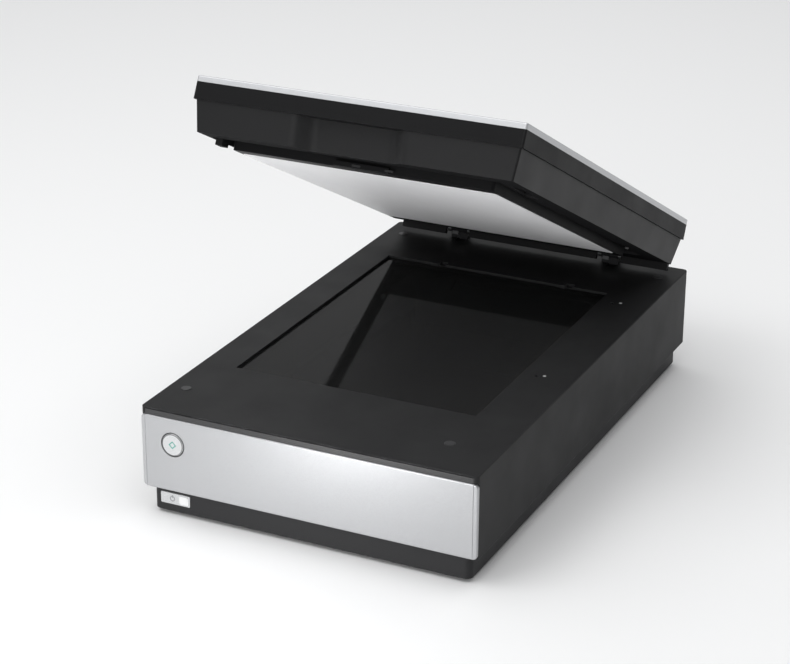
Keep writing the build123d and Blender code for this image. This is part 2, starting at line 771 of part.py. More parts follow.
def make_lid_cover():
    with BuildPart() as cover:
        block(lid, (-lid_x, lid_x), (0, lid_length), (cover_height, lid_height), lid_corner)
        top_edges = cover.faces().sort_by(Axis(lid.origin, lid.z_dir))[-1].edges()
        fillet(top_edges, 1.2)
        block(lid, (-lid_x + 2.5, lid_x - 2.5), (2.5, lid_length - 2.5),
              (cover_height - 1, lid_height - 2.2), 1, Mode.SUBTRACT)
        pegs(lid.offset(10.0), cover_screws, 3.0, lid_height - 11)
        pegs(lid.offset(9), cover_screws, screw_radius, 16, Mode.SUBTRACT)
    keep(cover, "lid_cover")


def make_lid_rim():
    with BuildPart() as rim:
        block(lid, (-lid_x, lid_x), (0, lid_length), (rim_height, cover_height), lid_corner)
        block(lid, (-lid_x + lid_wall, lid_x - lid_wall), (lid_wall, lid_length - lid_wall),
              (rim_height + 2, cover_height + 1), 1, Mode.SUBTRACT)
        block(lid, (-139.8, 139.8), (20.2, 459.8), (rim_height - 1, rim_height + 3), 1, Mode.SUBTRACT)
    keep(rim, "lid_rim")


def grip_cut():
    """The finger recess in the lid's front, with a flat floor and curved ends."""
    front = body_low_y[0]
    back = front + grip_depth
    with BuildSketch(lid) as recess:
        with BuildLine():
            Spline((grip_mouth[0], front), (grip_floor[0], back), tangents=((1, 0), (1, 0)))
            Line((grip_floor[0], back), (grip_floor[1], back))
            Spline((grip_floor[1], back), (grip_mouth[1], front), tangents=((1, 0), (1, 0)))
            Polyline((grip_mouth[1], front), (grip_mouth[1], front - 3), (grip_mouth[0], front - 3),
                     (grip_mouth[0], front))
        make_face()
    extrude(recess.sketch, amount=body_slant.length, dir=body_slant, mode=Mode.SUBTRACT)


def make_lid_case():
    skin_top = recess_depth + recess_skin
    with BuildPart() as case:
        lid_body(0, (0, rim_height))
        lid_body(lid_wall, (lid_wall, rim_height), Mode.SUBTRACT)
        with BuildSketch(lid) as backing:
            with Locations((-3.5, body_low_y[0] + 6.7)):
                Rectangle(117, 11.4)
        extrude(backing.sketch, amount=body_slant.length, dir=body_slant)
        grip_cut()
        # A skirt along the back closes the view under the lid.
        block(lid, (-140, 140), (456, 461), (-6.5, lid_wall + 0.1))
        block(lid, (recess_x[0] - 2, recess_x[1] + 2), (recess_y[0] - 2, recess_y[1] + 2), (0, skin_top))
        block(lid, recess_x, recess_y, (-1, recess_depth), 2, Mode.SUBTRACT)
        block(lid, lamp_window_x, lamp_window_y, (0, skin_top + 1), 1, Mode.SUBTRACT)
        pegs(lid, cover_screws, 1.9, 12, Mode.SUBTRACT)
        # Slots in the recess's back wall that hold the mat's tongues.
        for x in mat_tongues:
            block(lid, (x - 10.6, x + 10.6), (422, 428), (2.6, 6.4), mode=Mode.SUBTRACT)
        # Slot of the lid's own transport lock.
        block(lid, lock_slot_x, lock_slot_y, (-1, lid_wall + 1), 1.5, Mode.SUBTRACT)
        # A stub beside the mat meets the deck when the lid is shut.
        block(lid, (-137.4, -130.4), (34, 46), (-5, recess_depth + 1), 1)
        # Pockets that the hinge knuckles turn in, and pillars under the brackets.
        for x in hinge_places:
            pocket = ear_outer + 0.3
            block(lid, (x - pocket, x + pocket), (452, 470), (-8, 16), mode=Mode.SUBTRACT)
            pegs(lid.offset(1), [(x - 8, 437), (x + 8, 437)], 3.5, 12)
            pegs(lid.offset(3), [(x - 8, 437), (x + 8, 437)], screw_radius, 12, Mode.SUBTRACT)
        # Posts of the lamp's guide rod, and post and pin of the idler pulley.
        for y, low in (((66, 72), recess_depth + 1), ((434, 440), 1)):
            block(lid, (lid_rod_x - 5, lid_rod_x + 5), y, (low, lid_rod_height + 4.5))
        pegs(facing(lid, 60), [(lid_rod_x, lid_rod_height)], lid_rod_radius + 0.02, -390, Mode.SUBTRACT)
        pegs(lid.offset(1), [(lid_belt_x, lid_belt_back)], 3.2, 27.5)
        pegs(lid.offset(1), [(lid_belt_x, lid_belt_back)], 2, 37.6)
    keep(case, "lid_case")


def make_lamp_window():
    with BuildPart() as window:
        block(lid, (lamp_window_x[0] - 5, lamp_window_x[1] + 5),
              (lamp_window_y[0] - 5, lamp_window_y[1] + 5),
              (recess_depth + recess_skin, recess_depth + recess_skin + 3))
    keep(window, "lamp_window")


def make_lid_screws():
    bracket_places = [(x + side * 8, 437) for x in hinge_places for side in (-1, 1)]
    with BuildPart() as screws:
        pegs(lid.offset(recess_depth), cover_screws, 2.4, -1.8)
        pegs(lid.offset(recess_depth), cover_screws, screw_radius, 15)
        with BuildSketch(lid.offset(recess_depth - 1.8)) as crosses:
            with Locations(*cover_screws):
                Rectangle(2.8, 0.7)
                Rectangle(0.7, 2.8)
        extrude(crosses.sketch, amount=1.0, mode=Mode.SUBTRACT)
        pegs(lid.offset(15), bracket_places, 3, 1.8)
        pegs(lid.offset(15), bracket_places, screw_radius, -11)
    keep(screws, "lid_screws")


# ==== Lid: the lamp and its drive ====

def make_lid_rod():
    with BuildPart() as rod:
        pegs(facing(lid, 66.5), [(lid_rod_x, lid_rod_height)], lid_rod_radius, -373)
    keep(rod, "lid_guide_rod")


def make_lamp_carriage():
    with BuildPart() as carriage:
        block(lid, (-108, 109), (384, 420), (15, 36), 2)
        block(lid, (-106, 107), (386, 418), (17, 34), mode=Mode.SUBTRACT)
        block(lid, (-104, 90), (398, 406), (14, 18), mode=Mode.SUBTRACT)
        block(lid, (-132.4, -107), (388, 416), (17, 27), 1)
        pegs(facing(lid, 380), [(lid_rod_x, lid_rod_height)], lid_rod_radius + running_gap, -40,
             Mode.SUBTRACT)
        block(lid, (100, 109), (392, 412), (10.3, 16))
        strand = lid_belt_x + belt_inner
        block(lid, (strand - 2, strand + 3.5), (398, 406), (26, 38))
        block(lid, (strand - 0.3, strand + belt_thick + 0.3), (397, 407), (lid_belt_height[0] - 0.4, 39),
              mode=Mode.SUBTRACT)
    keep(carriage, "lamp_carriage")


def make_film_lamp():
    with BuildPart() as lamp:
        pegs(sideways(lid, -105.8), [(402, 27)], 2.2, 198)
    keep(lamp, "film_lamp")


def make_lid_motor():
    with BuildPart() as motor:
        pegs(lid.offset(10.2), [(lid_belt_x, lid_belt_front)], 13.5, 15.3)
        pegs(lid.offset(20), [(lid_belt_x, lid_belt_front)], 4, 7)
        pegs(lid.offset(14), [(lid_belt_x, lid_belt_front)], 1.5 + running_gap, 20, Mode.SUBTRACT)
    keep(motor, "lid_motor")


def make_lid_drive_pulley():
    with BuildPart() as drive:
        pulley(lid, (lid_belt_x, lid_belt_front), lid_belt_height)
        pegs(lid.offset(14.5), [(lid_belt_x, lid_belt_front)], 1.5, 20)
    keep(drive, "lid_drive_pulley")


def make_lid_idler_pulley():
    with BuildPart() as idler:
        pulley(lid, (lid_belt_x, lid_belt_back), lid_belt_height)
        pegs(lid.offset(25), [(lid_belt_x, lid_belt_back)], 2 + running_gap, 20, Mode.SUBTRACT)
    keep(idler, "lid_idler_pulley")


def make_lid_belt():
    with BuildPart() as belt:
        belt_loop(lid, lid_belt_x, lid_belt_front, lid_belt_back, lid_belt_height)
    keep(belt, "lid_belt")


def make_lid_lock():
    with BuildPart() as lock:
        block(lid, (125.4, 134.6), (74, 98), (lid_wall + 0.1, 4.4))
        block(lid, (127, 133), (78, 94), (-0.8, 3))
        with BuildSketch(lid.offset(-0.8)) as ridges:
            with Locations((130, 86)):
                with GridLocations(0, 3, 1, 5):
                    Rectangle(6, 1)
        extrude(ridges.sketch, amount=0.5, mode=Mode.SUBTRACT)
    keep(lock, "lid_lock")


# ==== Document mat ====

def make_mat_frame():
    with BuildPart() as frame:
        block(lid, mat_x, mat_y, (mat_face, recess_depth - 0.5), 3)
        block(lid, (mat_x[0] + 2.5, mat_x[1] - 2.5), (mat_y[0] + 2.5, mat_y[1] - 2.5),
              (mat_face + 3.2, recess_depth), 1, Mode.SUBTRACT)
        # The white sheet lies in a shallow pocket of the underside.
        sheet_top = sheet_face + sheet_thick
        block(lid, (mat_sheet_x[0] - running_gap, mat_sheet_x[1] + running_gap),
              (mat_sheet_y[0] - running_gap, mat_sheet_y[1] + running_gap), (mat_face - 1, sheet_top),
              sheet_corner, Mode.SUBTRACT)
        # Pull tab at the front, and tongues at the back.
        block(lid, pull_tab_x, (mat_y[0] - 3.5, mat_y[0] + 1), (mat_face + 0.3, mat_face + 4.6))
        for x in mat_tongues:
            block(lid, (x - 10, x + 10), (mat_y[1] - 1, 430), (3, 6))
    keep(frame, "mat_frame")


def make_mat_sheet():
    with BuildPart() as sheet:
        block(lid, mat_sheet_x, mat_sheet_y, (sheet_face, sheet_face + sheet_thick), sheet_corner)
    keep(sheet, "mat_sheet")


def make_springs():
    z = (power_height[0] + power_height[1]) / 2
    x = (power_span[0] + power_span[1]) / 2
    coil_spring("start_spring", (start_x, front_y + 7.6, start_z), (0, 1, 0), 6.2, 3.6, 0.35, 4)
    coil_spring("power_spring", (x, front_y + 9.0, z), (0, 1, 0), 4.7, 3.2, 0.3, 3)
    coil_spring("tension_spring", (belt_x, front_y + 472.6, 22), (0, 1, 0), 13.2, 3.0, 0.4, 4)


make_lower_tray()
make_rubber_feet()
make_upper_case()
make_front_panel()
make_front_trim()
make_platen_glass()
make_glass_tape()
make_calibration_strip()
make_deck_caps()
make_case_screws()
make_start_button()
make_power_button()
make_control_board()
make_power_switch()
make_main_board()
make_sockets()
make_transport_lock()
make_guide_rod()
make_rod_clamps()
make_support_rail()
make_motor_bracket()
make_drive_motor()
make_pinion()
make_drive_gear()
make_idler_pulley()
make_idler_bracket()
make_timing_belt()
make_carriage_housing()
make_carriage_bushes()
make_carriage_glide()
make_belt_clip()
make_exposure_lamps()
make_lamp_reflectors()
make_fold_mirrors()
make_lens_block()
make_sensor_board()
make_hinge_posts()
make_hinge_pins()
make_hinge_brackets()
make_lid_cover()
make_lid_rim()
make_lid_case()
make_lamp_window()
make_lid_screws()
make_lid_rod()
make_lamp_carriage()
make_film_lamp()
make_lid_motor()
make_lid_drive_pulley()
make_lid_idler_pulley()
make_lid_belt()
make_lid_lock()
make_mat_frame()
make_mat_sheet()
make_springs()
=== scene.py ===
import json
from math import cos, pi, radians, sin

import bmesh
import bpy
from mathutils import Matrix, Vector


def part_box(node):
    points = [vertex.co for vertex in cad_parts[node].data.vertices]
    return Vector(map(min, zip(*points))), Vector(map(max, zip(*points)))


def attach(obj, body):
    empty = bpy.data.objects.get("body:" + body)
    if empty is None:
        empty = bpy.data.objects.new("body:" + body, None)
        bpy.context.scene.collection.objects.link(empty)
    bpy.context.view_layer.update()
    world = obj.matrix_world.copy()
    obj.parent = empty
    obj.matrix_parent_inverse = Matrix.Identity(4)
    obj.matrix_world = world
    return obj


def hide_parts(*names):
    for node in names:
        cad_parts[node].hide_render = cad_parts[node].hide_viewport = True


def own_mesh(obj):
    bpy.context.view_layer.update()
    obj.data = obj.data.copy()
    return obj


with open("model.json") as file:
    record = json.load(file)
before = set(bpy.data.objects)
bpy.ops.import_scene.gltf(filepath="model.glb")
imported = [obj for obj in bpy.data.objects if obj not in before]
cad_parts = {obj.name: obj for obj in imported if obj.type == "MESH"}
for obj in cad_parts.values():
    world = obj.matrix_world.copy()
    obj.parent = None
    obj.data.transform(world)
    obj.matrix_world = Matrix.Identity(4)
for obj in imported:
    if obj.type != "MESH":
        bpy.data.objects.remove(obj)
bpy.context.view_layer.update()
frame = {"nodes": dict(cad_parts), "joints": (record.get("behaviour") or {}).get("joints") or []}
MM = 0.001
CASE_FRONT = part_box("upper_case")[0].y
# The lid's own frame, at rest: x to the right, s behind its front edge and h above its underside.
HINGE = next(joint for joint in frame["joints"] if joint["name"] == "lid_hinge")
HINGE_PLACE = Vector(HINGE["pos_m"])
LID_TILT = -radians(HINGE["range_deg"][0])
LID_BACK = Vector((0, cos(LID_TILT), -sin(LID_TILT)))
LID_UP = Vector((0, sin(LID_TILT), cos(LID_TILT)))
LID_HINGE_BACK = 463.4
LID_HINGE_UP = 2.1
LID_ORIGIN = HINGE_PLACE - LID_BACK * LID_HINGE_BACK * MM - LID_UP * LID_HINGE_UP * MM

# Sizes of the small pieces, in millimetres. Belts: x of the middle, front and back pulley, and height.
SCAN_BELT = (-105.0, 62.0, 452.0, (38.5, 44.5))
LID_BELT = (-119.5, 45.0, 440.0, (30.0, 36.0))
BELT_INSIDE = 6.3
BELT_THICK = 0.8
BELT_TOOTH = 0.35
BELT_PITCH = 2.0
POINTS_PER_TOOTH = 4
START_PLACE = (-124.0, 68.3)
POWER_PLACE = (-128.5, 15.35)
DECK_TOP = 98.7
PRINT_LOW = DECK_TOP - 0.1
PRINT_HIGH = DECK_TOP + 0.03
HOLDER_DOTS = ((126.0, 205.7), (126.0, 392.7))
LEG_HEIGHT = (10.55, 11.0)
CORNER_SHADE_RADIUS = 1.5
# Height, half width and front at both ends of the lid's lower and upper strips of painted corner shade.
CORNER_SHADE_LEVELS = (((0.0, 142.0, 7.6), (26.1, 145.5, 2.0)), ((26.1, 147.5, 0.0), (40.8, 147.5, 0.0)))


# ==== Materials ====

class Surface:
    """One material in the making. Each method lays one kind of detail over what is there."""

    def __init__(self, name, color, roughness, metallic=0.0, specular=0.5):
        self.material = bpy.data.materials.new(name)
        self.material.use_nodes = True
        self.tree = self.material.node_tree
        self.shader = self.tree.nodes["Principled BSDF"]
        self.shader.inputs["Metallic"].default_value = metallic
        self.shader.inputs["Specular IOR Level"].default_value = specular
        self.place = self.add("TexCoord").outputs["Object"]
        self.color = self.add("RGB").outputs[0]
        self.color.default_value = (*color, 1)
        self.roughness = self.add("Value").outputs[0]
        self.roughness.default_value = roughness
        self.normal = None

    def add(self, kind, values=(), **settings):
        """A node with its settings, and the values of its numbered inputs."""
        node = self.tree.nodes.new("ShaderNode" + kind)
        for key, value in settings.items():
            setattr(node, key, value)
        for key, value in dict(values).items():
            node.inputs[key].default_value = value
        return node

    def link(self, output, target):
        self.tree.links.new(output, target)

    def stretched(self, scale):
        """Texture coordinates scaled by a different amount along each axis."""
        mapping = self.add("Mapping", {"Scale": scale})
        self.link(self.place, mapping.inputs["Vector"])
        return mapping.outputs["Vector"]

    def noise(self, size, detail=3.0, place=None):
        """Soft noise whose blotches are about size metres across."""
        texture = self.add("TexNoise", {"Scale": 1 / size, "Detail": detail})
        self.link(place or self.place, texture.inputs["Vector"])
        return texture.outputs["Fac"]

    def cells(self, size, feature="F1"):
        """Cell noise whose cells are about size metres across."""
        texture = self.add("TexVoronoi", {"Scale": 1 / size}, feature=feature)
        self.link(self.place, texture.inputs["Vector"])
        return texture.outputs["Distance"]

    def ranged(self, value, low, high, new_low=0.0, new_high=1.0):
        """The value moved from one range to another, and clamped there."""
        ramp = self.add("MapRange", {1: low, 2: high, 3: new_low, 4: new_high})
        self.link(value, ramp.inputs[0])
        return ramp.outputs[0]

    def tint(self, mask, color, amount=1.0, blend="MIX"):
        """Lays a colour over the surface where the mask is high."""
        strength = self.ranged(mask, 0, 1, 0, amount)
        mix = self.add("Mix", data_type="RGBA", blend_type=blend)
        mix.inputs["B"].default_value = (*color, 1)
        self.link(strength, mix.inputs["Factor"])
        self.link(self.color, mix.inputs["A"])
        self.color = mix.outputs["Result"]
        return self

    def shine(self, mask, low, high):
        """Adds the mask, moved to a range of roughness, to the roughness."""
        total = self.add("Math", operation="ADD", use_clamp=True)
        self.link(self.roughness, total.inputs[0])
        self.link(self.ranged(mask, 0.25, 0.75, low, high), total.inputs[1])
        self.roughness = total.outputs[0]
        return self

    def bump(self, height, depth):
        """Raises the surface by up to depth metres."""
        node = self.add("Bump", {"Strength": 1.0, "Distance": depth})
        self.link(height, node.inputs["Height"])
        if self.normal:
            self.link(self.normal, node.inputs["Normal"])
        self.normal = node.outputs["Normal"]
        return self

    def soft_edges(self, radius):
        """Rounds the shading of sharp edges by a radius."""
        node = self.add("Bevel", {"Radius": radius}, samples=4)
        self.normal = node.outputs["Normal"]
        return self

    def edges(self, radius):
        """A mask that is high along outer and inner edges."""
        bevel = self.add("Bevel", {"Radius": radius}, samples=4)
        plain = self.add("NewGeometry").outputs["Normal"]
        dot = self.add("VectorMath", operation="DOT_PRODUCT")
        self.link(bevel.outputs["Normal"], dot.inputs[0])
        self.link(plain, dot.inputs[1])
        return self.ranged(dot.outputs["Value"], 1.0, 0.85, 0.0, 1.0)

    def done(self):
        """Links what was laid down to the shader, and gives the material."""
        self.link(self.color, self.shader.inputs["Base Color"])
        self.link(self.roughness, self.shader.inputs["Roughness"])
        if self.normal:
            self.link(self.normal, self.shader.inputs["Normal"])
        return self.material


def moulded_plastic(name, color, roughness, grain=0.45 * MM, depth=0.02 * MM, wear_and_highlight=None,
                    specular=0.5, rough_shaded_underside=False):
    """Moulded plastic with a spark-eroded grain, faint handling marks and slightly polished edges, whose
    lighter colour is partly wear and partly a painted highlight.
    """
    surface = Surface(name, color, roughness, specular=specular)
    surface.soft_edges(0.35 * MM)
    surface.bump(surface.cells(grain, "SMOOTH_F1"), depth)
    surface.bump(surface.noise(grain / 2.5), depth / 2)
    surface.shine(surface.noise(45 * MM, 5), -0.05, 0.06)
    handled = surface.ranged(surface.noise(90 * MM, 4), 0.4, 0.75)
    surface.tint(handled, (0.8, 0.8, 0.82), 0.25, "MULTIPLY")
    if rough_shaded_underside:
        # The hidden underside is left rougher by the mould, and its colour is darkened almost to black
        # as painted shade, for the shadow under the lid.
        height = surface.add("VectorMath", operation="DOT_PRODUCT")
        height.inputs[1].default_value = LID_UP
        surface.link(surface.add("TexCoord").outputs["Normal"], height.inputs[0])
        shaded_below = surface.ranged(height.outputs["Value"], -0.5, -0.8)
        surface.tint(shaded_below, (0.004, 0.004, 0.0045))
        surface.shine(shaded_below, 0.0, 0.4)
    if wear_and_highlight:
        # Edges are lightened partly by rubbed wear and partly as a painted highlight where light catches
        # them.
        rubbed_and_highlit = surface.add("Math", operation="MULTIPLY")
        surface.link(surface.edges(0.6 * MM), rubbed_and_highlit.inputs[0])
        surface.link(surface.ranged(surface.noise(6 * MM), 0.35, 0.65), rubbed_and_highlit.inputs[1])
        surface.tint(rubbed_and_highlit.outputs[0], wear_and_highlight, 0.5)
        surface.shine(rubbed_and_highlit.outputs[0], 0.0, -0.08)
    return surface.done()


def silver_paint(name, color, roughness):
    """Silver paint on smooth plastic: fine metal flakes under a thin clear coat."""
    surface = Surface(name, color, roughness, metallic=0.6)
    surface.shader.inputs["Coat Weight"].default_value = 0.25
    surface.shader.inputs["Coat Roughness"].default_value = 0.18
    surface.soft_edges(0.3 * MM)
    surface.bump(surface.noise(0.9 * MM, 4), 0.006 * MM)
    flakes = surface.ranged(surface.cells(0.22 * MM), 0.15, 0.65)
    surface.tint(flakes, (0.82, 0.83, 0.85), 0.35, "MULTIPLY")
    surface.shine(flakes, -0.04, 0.05)
    surface.shine(surface.noise(60 * MM, 4), -0.01, 0.01)
    return surface.done()


def steel(name, color, roughness, along=(1, 1, 1)):
    """Rolled or ground steel with fine lines. along scales the pattern, and is small along the lines."""
    surface = Surface(name, color, roughness, metallic=1.0)
    lines = surface.noise(0.5 * MM, 6, surface.stretched(along))
    surface.bump(lines, 0.004 * MM)
    surface.shine(lines, -0.06, 0.08)
    dulled = surface.ranged(surface.noise(15 * MM, 5), 0.45, 0.8)
    surface.tint(dulled, (0.7, 0.7, 0.72), 0.4, "MULTIPLY")
    return surface.done()


def circuit_board(name):
    """Green solder mask over copper tracks, with rows of bright pads."""
    surface = Surface(name, (0.012, 0.09, 0.04), 0.32)
    surface.shader.inputs["Coat Weight"].default_value = 0.4
    tracks = surface.add("TexBrick", {"Scale": 95.0, "Mortar Size": 0.028, "Bias": -1.0})
    surface.link(surface.place, tracks.inputs["Vector"])
    copper = surface.ranged(tracks.outputs["Fac"], 0.4, 0.6)
    surface.tint(copper, (0.03, 0.22, 0.09), 0.8)
    surface.bump(copper, 0.03 * MM)
    pads = surface.ranged(surface.cells(4.2 * MM), 0.17, 0.13)
    surface.tint(pads, (0.55, 0.55, 0.5))
    surface.tint(surface.ranged(surface.cells(4.2 * MM), 0.075, 0.06), (0.02, 0.02, 0.02))
    surface.shine(surface.noise(12 * MM), -0.06, 0.08)
    return surface.done()


def rubber(name):
    """Matt rubber with a powdery bloom."""
    surface = Surface(name, (0.018, 0.018, 0.019), 0.78, specular=0.3)
    surface.bump(surface.noise(0.5 * MM, 5), 0.03 * MM)
    surface.tint(surface.ranged(surface.noise(5 * MM, 5), 0.45, 0.8), (0.09, 0.09, 0.09), 0.35)
    return surface.done()


def clear(name, color, roughness, alpha, specular=0.5):
    """Clear or milky sheet seen through by its alpha, with faint haze and dust."""
    surface = Surface(name, color, roughness, specular=specular)
    surface.shader.inputs["Alpha"].default_value = alpha
    surface.shader.inputs["IOR"].default_value = 1.5
    surface.shine(surface.noise(30 * MM, 5), -0.01, 0.03)
    surface.tint(surface.ranged(surface.noise(1.2 * MM, 2), 0.72, 0.8), (0.4, 0.4, 0.4), 0.25)
    return surface.done()


def white_sheet(name, color, roughness):
    """White moulded sheet with a very fine even texture."""
    surface = Surface(name, color, roughness, specular=0.4)
    surface.soft_edges(0.4 * MM)
    surface.bump(surface.noise(0.35 * MM, 4), 0.012 * MM)
    aged = surface.ranged(surface.noise(70 * MM, 5), 0.45, 0.8)
    surface.tint(aged, (0.93, 0.93, 0.95), 0.5, "MULTIPLY")
    surface.shine(surface.noise(25 * MM, 4), -0.04, 0.06)
    return surface.done()


def lit_symbol(name, color):
    """A translucent symbol with a weak light behind it."""
    surface = Surface(name, color, 0.35)
    surface.shader.inputs["Emission Color"].default_value = (*color, 1)
    surface.shader.inputs["Emission Strength"].default_value = 0.05
    surface.tint(surface.ranged(surface.noise(0.8 * MM), 0.35, 0.7), (0.8, 0.95, 0.9), 0.4, "MULTIPLY")
    surface.bump(surface.noise(0.3 * MM), 0.005 * MM)
    return surface.done()


# A name, a colour and a roughness each, then what sets the plastic apart.
PLASTICS = (
    # The case's light edge colour paints the highlight along its top edges, besides wear.
    ("case_black", (0.018, 0.018, 0.0185), 0.50, {"wear_and_highlight": (0.20, 0.20, 0.21), "specular": 0.14}),
    ("tray_black", (0.018, 0.018, 0.019), 0.50, {"wear_and_highlight": (0.08, 0.08, 0.08), "specular": 0.22}),
    ("lid_grey", (0.016, 0.016, 0.0165), 0.40,
     {"wear_and_highlight": (0.06, 0.06, 0.065), "specular": 0.10, "rough_shaded_underside": True}),
    ("rim_grey", (0.009, 0.009, 0.0095), 0.44, {"wear_and_highlight": (0.05, 0.05, 0.05), "specular": 0.07}),
    ("trim_grey", (0.030, 0.030, 0.031), 0.34, {"wear_and_highlight": (0.16, 0.16, 0.16), "specular": 0.4}),
    ("mat_black", (0.006, 0.006, 0.0065), 0.50, {"wear_and_highlight": (0.04, 0.04, 0.04), "specular": 0.15}),
    ("inner_black", (0.010, 0.010, 0.011), 0.60, {"specular": 0.2}),
    ("cap_grey", (0.030, 0.030, 0.031), 0.36, {"specular": 0.3}),
    ("post_black", (0.014, 0.014, 0.015), 0.42, {"wear_and_highlight": (0.08, 0.08, 0.08), "specular": 0.25}),
    ("mark_grey", (0.22, 0.22, 0.23), 0.5, {"grain": 0.2 * MM, "depth": 0.008 * MM}),
    ("tab_grey", (0.085, 0.085, 0.087), 0.45, {"grain": 0.3 * MM}),
    ("mark_white", (0.62, 0.62, 0.62), 0.5, {"grain": 0.2 * MM, "depth": 0.008 * MM}),
    ("lens", (0.014, 0.014, 0.015), 0.3, {}),
)

MATERIALS = {name: moulded_plastic(name, color, rough, **more) for name, color, rough, more in PLASTICS}
MATERIALS.update({
    "silver": silver_paint("silver", (0.42, 0.423, 0.431), 0.30),
    "lid_silver": silver_paint("lid_silver", (0.50, 0.505, 0.515), 0.33),
    "button_silver": silver_paint("button_silver", (0.56, 0.565, 0.57), 0.3),
    "symbol_green": lit_symbol("symbol_green", (0.07, 0.26, 0.22)),
    "white": white_sheet("white", (0.86, 0.86, 0.87), 0.42),
    "acetal": white_sheet("acetal", (0.72, 0.71, 0.66), 0.35),
    "sheet_steel": steel("sheet_steel", (0.56, 0.57, 0.58), 0.34, (0.05, 1, 1)),
    "ground_steel": steel("ground_steel", (0.7, 0.71, 0.72), 0.16),
    "gold": steel("gold", (0.83, 0.62, 0.28), 0.25),
    "bronze": steel("bronze", (0.55, 0.33, 0.14), 0.38),
    "alloy": steel("alloy", (0.75, 0.76, 0.77), 0.25, (0.05, 1, 1)),
    "mirror": steel("mirror", (0.9, 0.9, 0.91), 0.03),
    "board": circuit_board("board"),
    "rubber": rubber("rubber"),
    "glass": clear("glass", (0.0135, 0.0135, 0.0135), 0.04, 0.8, specular=0.06),
    "diffuser": clear("diffuser", (0.75, 0.76, 0.75), 0.3, 0.75),
    "lamp": clear("lamp", (0.88, 0.88, 0.84), 0.12, 0.85),
})

NODE_MATERIALS = {
    "tray_black": ["lower_tray", "power_inlet", "lid_cable_socket"],
    "case_black": ["upper_case", "transport_lock"],
    "silver": ["front_panel"],
    "trim_grey": ["front_trim"],
    "glass": ["platen_glass"],
    "inner_black": ["glass_tape", "carriage_housing", "rod_clamps", "belt_clip", "lamp_carriage"],
    "white": ["calibration_strip", "mat_sheet"],
    "cap_grey": ["deck_caps"],
    "sheet_steel": ["case_screws", "lid_screws", "usb_socket", "bus_socket", "support_rail",
                    "motor_bracket", "drive_motor", "idler_bracket", "hinge_brackets", "lid_motor"],
    "button_silver": ["start_button", "power_button"],
    "board": ["control_board", "power_switch", "main_board", "sensor_board"],
    "ground_steel": ["guide_rod", "pinion_shaft", "hinge_pins", "lid_guide_rod", "start_spring",
                     "power_spring", "tension_spring"],
    "acetal": ["drive_gear", "idler_pulley", "carriage_glide", "lid_drive_pulley", "lid_idler_pulley"],
    "rubber": ["rubber_feet", "timing_belt", "lid_belt"],
    "bronze": ["carriage_bushes"],
    "lamp": ["exposure_lamps", "film_lamp"],
    "alloy": ["lamp_reflectors"],
    "mirror": ["fold_mirrors"],
    "lens": ["lens_block"],
    "post_black": ["hinge_posts"],
    "lid_silver": ["lid_cover"],
    "rim_grey": ["lid_rim", "lid_lock"],
    "mat_black": ["mat_frame"],
    "lid_grey": ["lid_case"],
    "diffuser": ["lamp_window"],
}


def dress_nodes():
    """Gives every node of the frame its material."""
    for material, names in NODE_MATERIALS.items():
        for name in names:
            mesh = frame["nodes"][name].data
            mesh.materials.clear()
            mesh.materials.append(MATERIALS[material])


# ==== Small pieces ====

def row_frame(x, y, z):
    """A place in millimetres, y measured from the case's front edge."""
    return Vector((x * MM, CASE_FRONT + y * MM, z * MM))


def lid_frame(x, y, z):
    """A place in millimetres in the lid's own frame."""
    return LID_ORIGIN + Vector((x * MM, 0, 0)) + LID_BACK * y * MM + LID_UP * z * MM


def piece(name, shape, material, body, place=row_frame, rounding=0.0, segments=2):
    """Turns a bmesh in millimetres into a piece that rides on a body."""
    for vertex in shape.verts:
        vertex.co = place(*vertex.co)
    bmesh.ops.recalc_face_normals(shape, faces=shape.faces)
    mesh = bpy.data.meshes.new(name)
    shape.to_mesh(mesh)
    shape.free()
    mesh.materials.append(MATERIALS[material])
    made = bpy.data.objects.new(name, mesh)
    bpy.context.scene.collection.objects.link(made)
    if rounding:
        bevel = made.modifiers.new("rounding", "BEVEL")
        bevel.width = rounding * MM
        bevel.segments = segments
        bevel.limit_method = "ANGLE"
    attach(made, body)
    return made


def prism(shape, outline, low, high, axis=2):
    """A solid between two heights along an axis, from an outline in the other two."""
    def put(point, height):
        place = list(point)
        place.insert(axis, height)
        return shape.verts.new(place)

    bottom = [put(point, low) for point in outline]
    top = [put(point, high) for point in outline]
    shape.faces.new(bottom)
    shape.faces.new(top)
    for i in range(len(outline)):
        j = (i + 1) % len(outline)
        shape.faces.new((bottom[i], bottom[j], top[j], top[i]))


def frame_prism(shape, outer, inner, low, high, axis=2):
    """A closed band between two outlines that have the same number of points."""
    def put(point, height):
        place = list(point)
        place.insert(axis, height)
        return shape.verts.new(place)

    rings = [[put(point, height) for point in outline] for outline, height in
             ((outer, low), (outer, high), (inner, high), (inner, low))]
    count = len(outer)
    for near, far in zip(rings, rings[1:] + rings[:1]):
        for i in range(count):
            j = (i + 1) % count
            shape.faces.new((near[i], near[j], far[j], far[i]))


def rectangle(x, y, cut=0.0):
    """The corners of a rectangle between two pairs of limits, cut off when asked."""
    if not cut:
        return [(x[0], y[0]), (x[1], y[0]), (x[1], y[1]), (x[0], y[1])]
    return [(x[0] + cut, y[0]), (x[1] - cut, y[0]), (x[1], y[0] + cut), (x[1], y[1] - cut),
            (x[1] - cut, y[1]), (x[0] + cut, y[1]), (x[0], y[1] - cut), (x[0], y[0] + cut)]


def ring(centre, radius, count=32, start=0.0, sweep=2 * pi):
    """Points on a circle or on an arc of one."""
    last = count if sweep >= 2 * pi else count - 1
    angles = [start + sweep * i / last for i in range(count)]
    return [(centre[0] + radius * cos(angle), centre[1] + radius * sin(angle)) for angle in angles]


def box_of(shape, x, y, z, cut=0.0):
    """A block between three pairs of limits."""
    prism(shape, rectangle(x, y, cut), z[0], z[1])


